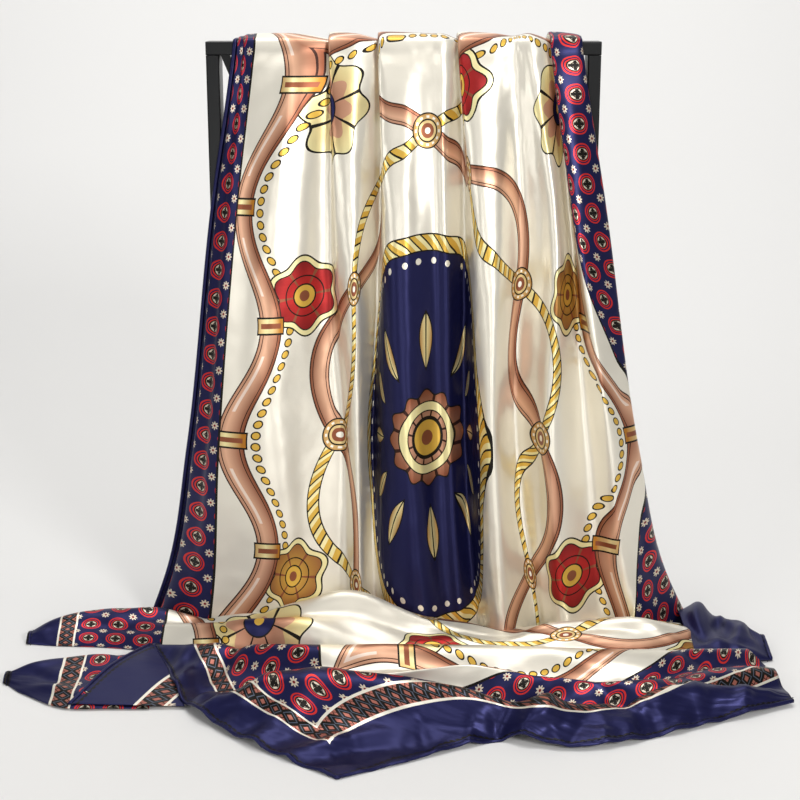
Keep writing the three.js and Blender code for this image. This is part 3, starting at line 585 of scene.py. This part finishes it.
# The screen print, millimetres on the flat square: navy hem and line borders, a foulard of rings and
# flowers, then a cream field with a lobed navy medallion, interlaced ribbons, rosettes and palmettes
ringStep, bandStep = 1 / 22, 1 / 11
scarfSide, knotRadius, leafRadius, pearlRadius = 900, 236, 77, 135
waveTurn = tau * 5 / scarfSide
printSteps = [
    # distances from the hems, place along them, then the place around the middle
    ("farU", "SUBTRACT", scarfSide, "u"), ("edgeU", "MINIMUM", "u", "farU"),
    ("farV", "SUBTRACT", scarfSide, "v"), ("edgeV", "MINIMUM", "v", "farV"),
    ("edge", "MINIMUM", "edgeU", "edgeV"),
    ("atSide", "LESS_THAN", "edgeU", "edgeV"), ("span", "SUBTRACT", "v", "u"),
    ("along", "MULTIPLY_ADD", "atSide", "span", "u"),
    ("x", "SUBTRACT", "u", scarfSide / 2), ("y", "SUBTRACT", "v", scarfSide / 2),
    ("xx", "MULTIPLY", "x", "x"),
    ("rr", "MULTIPLY_ADD", "y", "y", "xx"), ("radius", "SQRT", "rr"), ("angle", "ARCTAN2", "y", "x"),
    # foulard rings and the small flowers between them
    ("cellU", "MULTIPLY_ADD", "edgeU", ringStep, 10 - 44 * ringStep),
    ("cellV", "MULTIPLY_ADD", "edgeV", ringStep, 10 - 44 * ringStep),
    ("cellU", "FRACT", "cellU"), ("cellV", "FRACT", "cellV"),
    ("p", "SUBTRACT", "cellU", 0.5), ("q", "SUBTRACT", "cellV", 0.5), ("pp", "MULTIPLY", "p", "p"),
    ("ring", "MULTIPLY_ADD", "q", "q", "pp"), ("ring", "SQRT", "ring"), ("ring", "MULTIPLY", "ring", 22),
    ("p", "ABSOLUTE", "p"), ("q", "ABSOLUTE", "q"), ("arm", "MINIMUM", "p", "q"),
    ("onCross", "LESS_THAN", "arm", 0.055), ("onRingArm", "LESS_THAN", "ring", 3.9),
    ("onCross", "MULTIPLY", "onCross", "onRingArm"),
    ("onRing", "LESS_THAN", "ring", 7.9), ("onRingLine", "COMPARE", "ring", 6.3, 0.45),
    ("onRingDark", "LESS_THAN", "ring", 5.0), ("onRingHeart", "LESS_THAN", "ring", 4.1),
    ("onRingEye", "COMPARE", "ring", 2.5, 0.4),
    ("p", "SUBTRACT", "p", 0.5), ("q", "SUBTRACT", "q", 0.5), ("pp", "MULTIPLY", "p", "p"),
    ("bloom", "MULTIPLY_ADD", "q", "q", "pp"), ("bloom", "SQRT", "bloom"),
    ("bloomTurn", "ARCTAN2", "q", "p"), ("bloomTurn", "MULTIPLY", "bloomTurn", 8),
    ("bloomTurn", "COSINE", "bloomTurn"), ("bloomWide", "MULTIPLY_ADD", "bloomTurn", 0.035, 0.125),
    ("onBloom", "LESS_THAN", "bloom", "bloomWide"), ("onBloomEye", "LESS_THAN", "bloom", 0.045),
    # dark line border with a row of lozenges
    ("step", "MULTIPLY", "along", bandStep), ("step", "FRACT", "step"), ("p", "SUBTRACT", "step", 0.5),
    ("p", "ABSOLUTE", "p"), ("q", "MULTIPLY_ADD", "edge", bandStep, -36.5 * bandStep),
    ("q", "ABSOLUTE", "q"),
    ("lozenge", "ADD", "p", "q"), ("saltire", "SUBTRACT", "p", "q"),
    ("onLozenge", "COMPARE", "lozenge", 0.42, 0.035), ("onLozengeEye", "LESS_THAN", "lozenge", 0.2),
    ("onSaltire", "COMPARE", "saltire", 0.0, 0.035), ("onCorner", "GREATER_THAN", "lozenge", 0.7),
    ("onNavyHem", "LESS_THAN", "edge", 29), ("onBand", "COMPARE", "edge", 36.5, 6.8),
    ("onFirstLine", "COMPARE", "edge", 29.8, 0.8), ("onSecondLine", "COMPARE", "edge", 43.2, 0.8),
    ("onLine", "ADD", "onFirstLine", "onSecondLine"), ("onFoulard", "LESS_THAN", "edge", 114),
    ("onFoulardLine", "COMPARE", "edge", 114.4, 0.9),
    # painted shadow of the hem's thread and painted shade in its furrow inside the rolled hem, drawn wide
    # enough to show
    ("dash", "MULTIPLY", "along", 1 / hem["stitchPitch"]), ("dash", "FRACT", "dash"),
    ("dash", "LESS_THAN", "dash", 0.62),
    # dark dashes: painted shadow of the stitch thread, beside the stitches built as geometry
    ("onStitch", "COMPARE", "edge", 4.3, 0.75), ("onStitch", "MULTIPLY", "onStitch", "dash"),
    ("onFurrow", "COMPARE", "edge", 4.0, 0.35),
    # wavy ribbon inside the foulard, and a row of beads beside it
    ("wave", "MULTIPLY", "along", waveTurn), ("wave", "COSINE", "wave"),
    ("wave", "MULTIPLY_ADD", "wave", -15, -137), ("beside", "ADD", "edge", "wave"),
    ("onWaveLine", "COMPARE", "beside", 0, 9.6), ("onWave", "COMPARE", "beside", 0, 8.6),
    ("waveShade", "ADD", "beside", 3), ("waveShade", "ABSOLUTE", "waveShade"),
    ("waveShade", "DIVIDE", "waveShade", 11), ("onWaveSeam", "ABSOLUTE", "beside"),
    ("onWaveSeam", "COMPARE", "onWaveSeam", 6.4, 0.35), ("sway", "MULTIPLY", "along", waveTurn),
    ("sway", "SINE", "sway"), ("onClaspLine", "COMPARE", "sway", 0, 0.24),
    ("onClasp", "COMPARE", "sway", 0, 0.19),
    ("onClaspEye", "COMPARE", "sway", 0, 0.07), ("onWaveWide", "COMPARE", "beside", 0, 11.6),
    ("onClaspLine", "MULTIPLY", "onClaspLine", "onWaveWide"), ("onWaveWide", "COMPARE", "beside", 0, 10.6),
    ("onClasp", "MULTIPLY", "onClasp", "onWaveWide"), ("onClaspEye", "MULTIPLY", "onClaspEye", "onWave"),
    ("onStreak", "COMPARE", "beside", -2.6, 1.1), ("sway", "ABSOLUTE", "sway"),
    ("sway", "GREATER_THAN", "sway", 0.72), ("onStreak", "MULTIPLY", "onStreak", "sway"),
    ("bead", "MULTIPLY", "along", 1 / 9), ("bead", "FRACT", "bead"), ("bead", "SUBTRACT", "bead", 0.5),
    ("bead", "MULTIPLY", "bead", 9), ("bead", "MULTIPLY", "bead", "bead"),
    ("besideBead", "SUBTRACT", "beside", 17),
    ("bead", "MULTIPLY_ADD", "besideBead", "besideBead", "bead"), ("onBeadLine", "LESS_THAN", "bead", 12.5),
    ("onBead", "LESS_THAN", "bead", 6.5),
    # a ribbon and a rope that cross twelve times, a rosette over each crossing
    ("turn", "MULTIPLY", "angle", 6), ("turn", "SINE", "turn"),
    ("ribbon", "MULTIPLY_ADD", "turn", -25, "radius"), ("ribbon", "SUBTRACT", "ribbon", knotRadius),
    ("rope", "MULTIPLY_ADD", "turn", 25, "radius"), ("rope", "SUBTRACT", "rope", knotRadius),
    ("onRibbonLine", "COMPARE", "ribbon", 0, 8.4), ("onRibbon", "COMPARE", "ribbon", 0, 7.4),
    ("onRibbonSeam", "ABSOLUTE", "ribbon"), ("onRibbonSeam", "COMPARE", "onRibbonSeam", 5.4, 0.35),
    ("ribbonShade", "ADD", "ribbon", 2.5), ("ribbonShade", "ABSOLUTE", "ribbonShade"),
    ("ribbonShade", "DIVIDE", "ribbonShade", 10),
    ("onRopeLine", "COMPARE", "rope", 0, 5.4), ("onRope", "COMPARE", "rope", 0, 4.4),
    ("twist", "MULTIPLY", "angle", 26), ("twist", "MULTIPLY_ADD", "rope", 0.08, "twist"),
    ("twist", "FRACT", "twist"), ("onTwist", "LESS_THAN", "twist", 0.16),
    ("onRopeLight", "GREATER_THAN", "twist", 0.62),
    ("onTwist", "MULTIPLY", "onTwist", "onRope"), ("onRopeLight", "MULTIPLY", "onRopeLight", "onRope"),
    ("knot", "MULTIPLY_ADD", "angle", 12 / tau, 0.5), ("knot", "FRACT", "knot"),
    ("knot", "SUBTRACT", "knot", 0.5),
    ("knotArc", "MULTIPLY", "knot", tau / 12 * knotRadius), ("knot", "MULTIPLY", "knotArc", "knotArc"),
    ("outward", "SUBTRACT", "radius", knotRadius), ("knot", "MULTIPLY_ADD", "outward", "outward", "knot"),
    ("knot", "SQRT", "knot"), ("onKnotLine", "LESS_THAN", "knot", 13.5),
    ("onKnot", "LESS_THAN", "knot", 12.4),
    ("onKnotRing", "COMPARE", "knot", 8.2, 0.6), ("knotTurn", "ARCTAN2", "outward", "knotArc"),
    ("knotTurn", "MULTIPLY", "knotTurn", 12), ("knotTurn", "COSINE", "knotTurn"),
    ("onKnotDots", "COMPARE", "knot", 10.3, 0.9), ("knotTurn", "GREATER_THAN", "knotTurn", 0.2),
    ("onKnotDots", "MULTIPLY", "onKnotDots", "knotTurn"), ("onKnotHeart", "LESS_THAN", "knot", 5.6),
    ("onKnotEye", "LESS_THAN", "knot", 2.4), ("knotShade", "DIVIDE", "knot", 15),
    # eight flowers, every second one red
    ("sector", "MULTIPLY", "angle", 8 / tau), ("sector", "FRACT", "sector"),
    ("sector", "SUBTRACT", "sector", 0.5),
    ("sector", "MULTIPLY", "sector", tau / 8), ("petalX", "COSINE", "sector"), ("petalY", "SINE", "sector"),
    ("petalX", "MULTIPLY_ADD", "petalX", "radius", -292), ("petalY", "MULTIPLY", "petalY", "radius"),
    ("xx", "MULTIPLY", "petalX", "petalX"), ("petal", "MULTIPLY_ADD", "petalY", "petalY", "xx"),
    ("petal", "SQRT", "petal"), ("petalTurn", "ARCTAN2", "petalY", "petalX"),
    ("petalTurn", "MULTIPLY", "petalTurn", 6), ("petalTurn", "COSINE", "petalTurn"),
    ("petalEdge", "MULTIPLY_ADD", "petalTurn", -2.6, "petal"),
    ("onPetalLine", "LESS_THAN", "petalEdge", 29.5),
    ("onPetalRim", "LESS_THAN", "petalEdge", 28.2), ("onPetalInside", "LESS_THAN", "petalEdge", 24.6),
    ("onPetal", "LESS_THAN", "petalEdge", 23.6),
    ("onPetalVein", "LESS_THAN", "petalTurn", -0.94), ("onPetalVein", "MULTIPLY", "onPetalVein", "onPetal"),
    ("onPetalRing", "COMPARE", "petal", 15.5, 0.5),
    ("onPetalHeartLine", "LESS_THAN", "petal", 9.6), ("onPetalHeart", "LESS_THAN", "petal", 8.4),
    ("onPetalEye", "LESS_THAN", "petal", 4.2), ("redTurn", "MULTIPLY", "angle", 4),
    ("redTurn", "SINE", "redTurn"),
    ("redTurn", "GREATER_THAN", "redTurn", 0), ("petalShade", "DIVIDE", "petal", 30),
    # palmette in each corner of the field
    ("x", "ABSOLUTE", "x"), ("y", "ABSOLUTE", "y"), ("x", "SUBTRACT", "x", 252),
    ("y", "SUBTRACT", "y", 252),
    ("xx", "MULTIPLY", "x", "x"), ("fan", "MULTIPLY_ADD", "y", "y", "xx"), ("fan", "SQRT", "fan"),
    ("fanTurn", "ARCTAN2", "y", "x"), ("fanTurn", "MULTIPLY_ADD", "fanTurn", 8, -tau),
    ("fanTurn", "COSINE", "fanTurn"),
    ("fanEdge", "MULTIPLY_ADD", "fanTurn", -3.5, "fan"), ("onFanLine", "LESS_THAN", "fanEdge", 40),
    ("onFan", "LESS_THAN", "fanEdge", 38.6), ("onFanInside", "LESS_THAN", "fanEdge", 25),
    ("onFanVein", "LESS_THAN", "fanTurn", -0.95), ("onFanVein", "MULTIPLY", "onFanVein", "onFan"),
    ("onFanHeartLine", "LESS_THAN", "fan", 13.2),
    ("onFanHeart", "LESS_THAN", "fan", 12), ("onFanEye", "LESS_THAN", "fan", 4),
    ("fanShade", "DIVIDE", "fan", 42),
    # medallion: rope round its lobes, pearls, a ring of leaves, a rosette in the middle
    ("turn", "MULTIPLY", "angle", 4), ("turn", "COSINE", "turn"), ("turn", "ABSOLUTE", "turn"),
    ("lobe", "MULTIPLY_ADD", "turn", -6, "radius"), ("lobe", "SUBTRACT", "lobe", 147),
    ("onMedallion", "LESS_THAN", "lobe", 0), ("onCordLine", "COMPARE", "lobe", 0, 7),
    ("onCord", "COMPARE", "lobe", 0, 5.8),
    ("twine", "MULTIPLY", "angle", 84 / tau), ("twine", "MULTIPLY_ADD", "lobe", 0.09, "twine"),
    ("twine", "FRACT", "twine"), ("onTwine", "LESS_THAN", "twine", 0.15),
    ("onCordLight", "GREATER_THAN", "twine", 0.6),
    ("onTwine", "MULTIPLY", "onTwine", "onCord"), ("onCordLight", "MULTIPLY", "onCordLight", "onCord"),
    ("pearl", "MULTIPLY", "angle", 60 / tau), ("pearl", "FRACT", "pearl"),
    ("pearl", "SUBTRACT", "pearl", 0.5),
    ("pearl", "MULTIPLY", "pearl", tau / 60 * pearlRadius), ("pearl", "MULTIPLY", "pearl", "pearl"),
    ("outward", "ADD", "lobe", 14), ("pearl", "MULTIPLY_ADD", "outward", "outward", "pearl"),
    ("onPearl", "LESS_THAN", "pearl", 6.2),
    ("leaf", "MULTIPLY_ADD", "angle", 12 / tau, 0.5), ("leaf", "FRACT", "leaf"),
    ("leaf", "SUBTRACT", "leaf", 0.5),
    ("leaf", "MULTIPLY", "leaf", tau / 12 * leafRadius), ("leaf", "ABSOLUTE", "leaf"),
    ("outward", "MULTIPLY_ADD", "radius", 1 / 24, -leafRadius / 24),
    ("outward", "MULTIPLY", "outward", "outward"),
    ("leafEdge", "MULTIPLY_ADD", "outward", 7, "leaf"), ("onLeafLine", "LESS_THAN", "leafEdge", 7),
    ("onLeaf", "LESS_THAN", "leafEdge", 5.9), ("onLeafRib", "LESS_THAN", "leaf", 0.6),
    ("onRib", "MULTIPLY", "onLeaf", "onLeafRib"), ("leafShade", "DIVIDE", "leaf", 7),
    ("turn", "MULTIPLY", "angle", 12), ("turn", "COSINE", "turn"),
    ("heartEdge", "MULTIPLY_ADD", "turn", -2.4, "radius"),
    ("onHeartLine", "LESS_THAN", "heartEdge", 37), ("onHeart", "LESS_THAN", "heartEdge", 35.6),
    ("onHeartRing", "COMPARE", "radius", 25, 3.2), ("onHeartRingLine", "COMPARE", "radius", 25, 4.2),
    ("onHeartDark", "LESS_THAN", "radius", 17), ("onHeartGold", "LESS_THAN", "radius", 14),
    ("onHeartEye", "LESS_THAN", "radius", 6), ("heartShade", "DIVIDE", "radius", 37),
    ("onHeartVein", "LESS_THAN", "turn", -0.86), ("onHeartVein", "MULTIPLY", "onHeartVein", "onHeart"),
]
# Printed one over the other: where, then the ink, or a share and the two inks that it shades between
fieldLayers = [
    ("onMedallion", "navy"), ("onCordLine", "line"), ("onCord", "gold"), ("onCordLight", "paleGold"),
    ("onTwine", "line"), ("onPearl", "cream"), ("onLeafLine", "line"),
    ("onLeaf", "leafShade", "paleGold", "amber"),
    ("onRib", "line"), ("onHeartLine", "line"), ("onHeart", "heartShade", "paleTan", "darkTan"),
    ("onHeartVein", "outline"),
    ("onHeartRingLine", "line"), ("onHeartRing", "paleGold"), ("onHeartDark", "line"),
    ("onHeartGold", "gold"),
    ("onHeartEye", "darkTan"),
    ("onRibbonLine", "outline"), ("onRibbon", "ribbonShade", "paleTan", "darkTan"),
    ("onRibbonSeam", "outline"),
    ("onRopeLine", "line"),
    ("onRope", "gold"), ("onRopeLight", "paleGold"), ("onTwist", "line"),
    ("onKnotLine", "line"), ("onKnot", "knotShade", "paleGold", "amber"), ("onKnotRing", "line"),
    ("onKnotDots", "cream"),
    ("onKnotHeart", "darkTan"), ("onKnotEye", "cream"),
    ("onFanLine", "line"), ("onFan", "fanShade", "amber", "paleGold"),
    ("onFanInside", "fanShade", "darkTan", "paleTan"), ("onFanVein", "line"),
    ("onFanHeartLine", "line"), ("onFanHeart", "navy"), ("onFanEye", "gold"),
    ("onBeadLine", "line"), ("onBead", "gold"),
    ("onPetalLine", "line"), ("onPetalRim", "paleGold"), ("onPetalInside", "line"), ("onPetal", "petalInk"),
    ("onPetalVein", "darkTan"), ("onPetalRing", "line"),
    ("onPetalHeartLine", "line"), ("onPetalHeart", "gold"), ("onPetalEye", "darkTan"),
    ("onWaveLine", "outline"),
    ("onWave", "waveShade", "paleTan", "darkTan"), ("onWaveSeam", "outline"), ("onStreak", "blush"),
    ("onClaspLine", "line"), ("onClasp", "waveShade", "paleGold", "amber"), ("onClaspEye", "darkTan"),
]
foulardLayers = [
    ("onRing", "red"), ("onRingLine", "navy"), ("onRingDark", "line"), ("onRingHeart", "flower"),
    ("onRingEye", "line"), ("onCross", "line"), ("onBloom", "flower"), ("onBloomEye", "darkRed"),
]
bandLayers = [
    ("onCorner", "salmon"), ("onSaltire", "line"), ("onLozenge", "slate"), ("onLozengeEye", "salmon"),
]
inks = {
    "cream": "#EEE8D9", "navy": "#1F204B", "line": "#1B1713", "outline": "#3A2018", "gold": "#DDB24C",
    "paleGold": "#F3E7AC", "amber": "#B8792A", "paleTan": "#E4B393", "darkTan": "#8E5238",
    "red": "#D3302B", "darkRed": "#7E1F22", "flower": "#D6C8B4", "salmon": "#A9685A", "slate": "#5A6272",
    "blush": "#F3DCCB",
}


# The printed colour of a point of the square
def printColour(tree):
    place = addNode(tree, "UVMap", uv_map="print")
    place = addNode(tree, "Mapping", place, None, None, (1000.0, 1000.0, 1.0))
    u = addNode(tree, "SeparateXYZ", place)
    named = {"u": u, "v": u.node.outputs[1]}
    for name, operation, *inputs in printSteps:
        inputs = [named.get(value, value) for value in inputs]
        named[name] = addNode(tree, "Math", *inputs, operation=operation)
    ink = {name: linear(colour) for name, colour in inks.items()}
    petalRed = addNode(tree, "MixRGB", named["petalShade"], ink["red"], ink["darkRed"])
    petalGold = addNode(tree, "MixRGB", named["petalShade"], ink["gold"], ink["darkTan"])
    ink["petalInk"] = addNode(tree, "MixRGB", named["redTurn"], petalGold, petalRed)
    printed = []
    for base, layers in (("cream", fieldLayers), ("navy", foulardLayers), ("line", bandLayers)):
        colour = ink[base]
        for where, *used in layers:
            shade = ink[used[0]] if len(used) == 1 else addNode(
                tree, "MixRGB", named[used[0]], ink[used[1]], ink[used[2]], use_clamp=True)
            colour = addNode(tree, "MixRGB", named[where], colour, shade)
        printed.append(colour)
    colour = addNode(tree, "MixRGB", named["onFoulard"], printed[0], printed[1])
    colour = addNode(tree, "MixRGB", named["onFoulardLine"], colour, ink["line"])
    colour = addNode(tree, "MixRGB", named["onBand"], colour, printed[2])
    colour = addNode(tree, "MixRGB", named["onNavyHem"], colour, ink["navy"])
    # painted shade in the furrow inside the rolled hem, then the stitches' painted shadow, both in the dark
    # line ink
    colour = addNode(tree, "MixRGB", named["onFurrow"], colour, ink["line"])
    colour = addNode(tree, "MixRGB", named["onStitch"], colour, ink["line"])
    return addNode(tree, "MixRGB", named["onLine"], colour, ink["cream"]), place, named["edge"]


# Powder coat on steel tube: a faint orange-peel skin, semi-gloss
def steelPaint():
    material, tree = newMaterial("powderCoatedSteel")
    place = addNode(tree, "TexCoord", out=3)
    grain = addNode(tree, "TexNoise", place, None, 900.0, 3.0)
    bump = addNode(tree, "Bump", 0.12, 0.0002, None, grain)
    coat(tree, {
        "Base Color": linear("#08090A"), "Roughness": 0.35, "Specular IOR Level": 0.3, "Normal": bump,
    })
    return material


# Silk satin, screen printed: long floats give soft bright streaks along the thread, crumpled most at the
# rolled hems, and the reverse is duller. Threads are 0.1 mm apart, drawn about 1 mm wide so that they show
def satin(name, roughness, gleam, specular):
    material, tree = newMaterial(name)
    colour, place, edge = printColour(tree)
    tangent = addNode(tree, "Tangent", direction_type="UV_MAP", uv_map="print")
    stretched = addNode(tree, "Mapping", place, None, None, (0.05, 0.9, 1.0))
    floats = addNode(tree, "TexNoise", stretched, None, 1.0, 2.0)
    crinkles = addNode(tree, "TexNoise", place, None, 0.035, 1.6, 0.4, 2.0, 0.0, 0.3)
    nearHem = addNode(tree, "MapRange", edge, 10.0, 50.0, 1.0, 0.45)
    crinkles = addNode(tree, "Math", crinkles, nearHem, operation="MULTIPLY")
    bump = addNode(tree, "Bump", 0.1, 0.0004, None, floats)
    bump = addNode(tree, "Bump", 0.45, 0.008, None, crinkles, bump)
    coat(tree, {
        "Base Color": colour, "Metallic": gleam, "Roughness": roughness, "Specular IOR Level": specular,
        "Anisotropic": 0.6, "Anisotropic Rotation": 0.25, "Tangent": tangent, "Normal": bump,
    })
    return material


# Spun thread of the hem stitches: dark, matt, with a fine twist
def threadMaterial():
    material, tree = newMaterial("twistedSilkThread")
    place = addNode(tree, "TexCoord", out=3)
    twist = addNode(tree, "TexNoise", place, None, 2600.0, 2.0)
    tone = addNode(tree, "MixRGB", twist, linear("#0B0C19"), linear("#1D1E38"))
    coat(tree, {"Base Color": tone, "Roughness": 0.65})
    return material


def dress(pieces, stitches):
    face, reverse = satin("printedSatinFace", 0.38, 0.6, 0.35), satin("printedSatinReverse", 0.55, 0.15, 0.3)
    paint, thread = steelPaint(), threadMaterial()
    for piece in pieces:
        piece.data.materials.append(face)
        piece.data.materials.append(reverse)
    for piece in stitches:
        piece.data.materials.append(thread)
    for name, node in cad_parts.items():
        if name.startswith("stand_"):
            node.data.materials.clear()
            node.data.materials.append(paint)


# Camera of the photograph, in millimetres, then a pale floor that rises behind the scarf and soft lights, in
# metres: place, aim, size and watts of each light
view = {"lens": 70.6, "pitch": 14.7, "x": -2.7, "y": -1221.0, "z": 510.0}
sweep = {"front": -3.0, "bendFrom": 0.6, "bendRadius": 0.9, "top": 3.5, "width": 9, "bendSteps": 24}
lights = {
    "key": ((0.85, -1.5, 0.95), (0, 0, 0.08), 0.4, 16),
    "low": ((-0.1, -1.15, 0.24), (0, 0, 0.1), 0.38, 1.6),
    "fill": ((-1.3, -1.1, 0.8), (0, 0, 0.2), 0.7, 5),
    "top": ((0.0, -0.3, 2.0), (0, 0, 0.2), 0.9, 5),
    "backdrop": ((0.0, 0.3, 2.0), (-0.05, 1.6, 0.9), 1.2, 23),
}


def buildStage():
    scene = bpy.context.scene
    camera = bpy.data.objects.new("camera", bpy.data.cameras.new("camera"))
    scene.collection.objects.link(camera)
    camera.data.lens = view["lens"]
    camera.data.sensor_width = 36
    camera.location = np.array([view["x"], view["y"], view["z"]]) * millimetre + shift
    camera.rotation_euler = (math.radians(90 - view["pitch"]), 0, 0)
    scene.camera = camera
    start, radius = sweep["bendFrom"], sweep["bendRadius"]
    profile = [(sweep["front"], 0.0), (start, 0.0)]
    turns = np.linspace(0.05, math.pi / 2, sweep["bendSteps"])
    profile += [(start + radius * math.sin(turn), radius - radius * math.cos(turn)) for turn in turns]
    profile += [(start + radius, sweep["top"])]
    bm = bmesh.new()
    bmesh.ops.create_grid(bm, x_segments=2, y_segments=len(profile) - 1, size=0.5)
    for vert in bm.verts:
        vert.co = (vert.co.x * sweep["width"], *profile[round((vert.co.y + 0.5) * (len(profile) - 1))])
    for face in bm.faces:
        face.smooth = True
    floor = addObject("pale_sweep", bm)
    material, tree = newMaterial("pale_paper")
    coat(tree, {"Base Color": linear("#E9E8E6"), "Roughness": 0.85})
    floor.data.materials.append(material)
    world = bpy.data.worlds.new("studio")
    scene.world = world
    world.use_nodes = True
    world.node_tree.nodes["Background"].inputs[0].default_value = linear("#FFFFFF")
    world.node_tree.nodes["Background"].inputs[1].default_value = 0.24
    for name, (place, towards, size, power) in lights.items():
        lamp = bpy.data.lights.new(name, "AREA")
        lamp.size = size
        lamp.energy = power
        holder = bpy.data.objects.new(name, lamp)
        scene.collection.objects.link(holder)
        holder.location = place
        aim = Vector(towards) - Vector(place)
        holder.rotation_euler = aim.to_track_quat("-Z", "Y").to_euler()
    scene.view_settings.view_transform = "Standard"


print("hanging cloth")
made = [buildDrop()]
print("cloth on the floor")
made.append(buildBorder())
made.append(buildHeap("silk_rolls", rolls, ["pool_rolls"], ["left"]))
made.append(buildHeap("silk_left_tongue", leftTongue, ["pool_left_tongue"], ["left"]))
made.append(buildHeap("silk_right_tongue", rightTongue, ["pool_right_tongue"], ["right"]))
made.append(buildTurnedCorner())
cloth = [piece for pieces in made for piece in pieces if not piece.name.endswith("stitches")]
stitches = [piece for pieces in made for piece in pieces if piece.name.endswith("stitches")]
print("materials")
dress(cloth, stitches)
print("stage")
buildStage()
